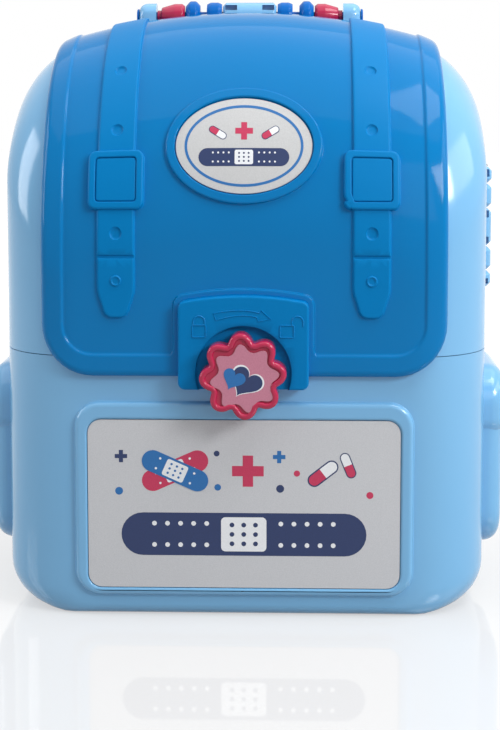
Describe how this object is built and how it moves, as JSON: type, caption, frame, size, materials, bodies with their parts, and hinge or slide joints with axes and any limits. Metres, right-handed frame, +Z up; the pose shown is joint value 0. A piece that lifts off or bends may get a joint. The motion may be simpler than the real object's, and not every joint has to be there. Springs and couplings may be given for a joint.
{
  "type": "toy doctor case",
  "caption": "Satchel-shaped hard toy case with a side-hinged front door, decorated flap, quarter-turn knob lock, beaded carrying handle and side pockets.",
  "frame": {"origin": "on the base, under the middle of the case", "axes": "+Z up, +X to the right as seen from the front, +Y from the front towards the rear"},
  "size_m": [0.261, 0.168, 0.3004],
  "materials": {
    "body_plastic": "injection moulded, semi-gloss light blue",
    "flap_plastic": "injection moulded, glossy azure with matte straps",
    "crimson_plastic": "injection moulded, glossy crimson",
    "handle_plastic": "injection moulded, glossy blue",
    "inner_plastic": "injection moulded, natural grey-white",
    "label_sheet": "silver-grey printed sheet with fine grain",
    "badge_sheet": "light grey printed sheet",
    "sticker_sheet": "pink printed sheet",
    "fastener_steel": "zinc-plated steel"
  },
  "bodies": {
    "case": {"rear_shell": "body_plastic", "lower_front_shell": "body_plastic", "left_side_pocket": "body_plastic", "right_side_pocket": "body_plastic", "front_label": "label_sheet", "hinge_pin": "fastener_steel", "handle_rod": "handle_plastic", "rod_cap": "handle_plastic", "lower_left_case_screw": "fastener_steel", "upper_left_case_screw": "fastener_steel", "lower_right_case_screw": "fastener_steel", "upper_right_case_screw": "fastener_steel"},
    "door": {"door_shell": "body_plastic", "front_flap": "flap_plastic", "oval_badge": "badge_sheet", "lower_left_flap_screw": "fastener_steel", "upper_left_flap_screw": "fastener_steel", "lower_right_flap_screw": "fastener_steel", "upper_right_flap_screw": "fastener_steel"},
    "knob": {"knob": "crimson_plastic", "knob_badge": "sticker_sheet", "lock_key": "inner_plastic", "knob_washer": "fastener_steel", "knob_screw": "fastener_steel"},
    "centre_grip": {"centre_grip": "body_plastic"},
    "left_inner_bead": {"left_inner_bead": "handle_plastic"},
    "left_blue_bead": {"left_blue_bead": "handle_plastic"},
    "left_crimson_bead": {"left_crimson_bead": "crimson_plastic"},
    "right_inner_bead": {"right_inner_bead": "handle_plastic"},
    "right_blue_bead": {"right_blue_bead": "handle_plastic"},
    "right_crimson_bead": {"right_crimson_bead": "crimson_plastic"}
  },
  "joints": [
    {"name": "door_hinge", "type": "hinge", "parent": "case", "child": "door", "pos_m": [0.1219, 0.01, 0.183], "axis": [0, 0, 1], "range_deg": [0, 165]},
    {"name": "knob_turn", "type": "hinge", "parent": "door", "child": "knob", "pos_m": [0, -0.082, 0.1203], "axis": [0, 1, 0], "range_deg": [-90, 0]},
    {"name": "centre_grip_spin", "type": "hinge", "parent": "case", "child": "centre_grip", "pos_m": [0, 0.026, 0.2924], "axis": [1, 0, 0], "continuous": true},
    {"name": "left_inner_bead_spin", "type": "hinge", "parent": "case", "child": "left_inner_bead", "pos_m": [-0.018, 0.026, 0.2924], "axis": [1, 0, 0], "continuous": true},
    {"name": "left_blue_bead_spin", "type": "hinge", "parent": "case", "child": "left_blue_bead", "pos_m": [-0.03, 0.026, 0.2924], "axis": [1, 0, 0], "continuous": true},
    {"name": "left_crimson_bead_spin", "type": "hinge", "parent": "case", "child": "left_crimson_bead", "pos_m": [-0.04, 0.026, 0.2924], "axis": [1, 0, 0], "continuous": true},
    {"name": "right_inner_bead_spin", "type": "hinge", "parent": "case", "child": "right_inner_bead", "pos_m": [0.018, 0.026, 0.2924], "axis": [1, 0, 0], "continuous": true},
    {"name": "right_blue_bead_spin", "type": "hinge", "parent": "case", "child": "right_blue_bead", "pos_m": [0.03, 0.026, 0.2924], "axis": [1, 0, 0], "continuous": true},
    {"name": "right_crimson_bead_spin", "type": "hinge", "parent": "case", "child": "right_crimson_bead", "pos_m": [0.04, 0.026, 0.2924], "axis": [1, 0, 0], "continuous": true}
  ]
}
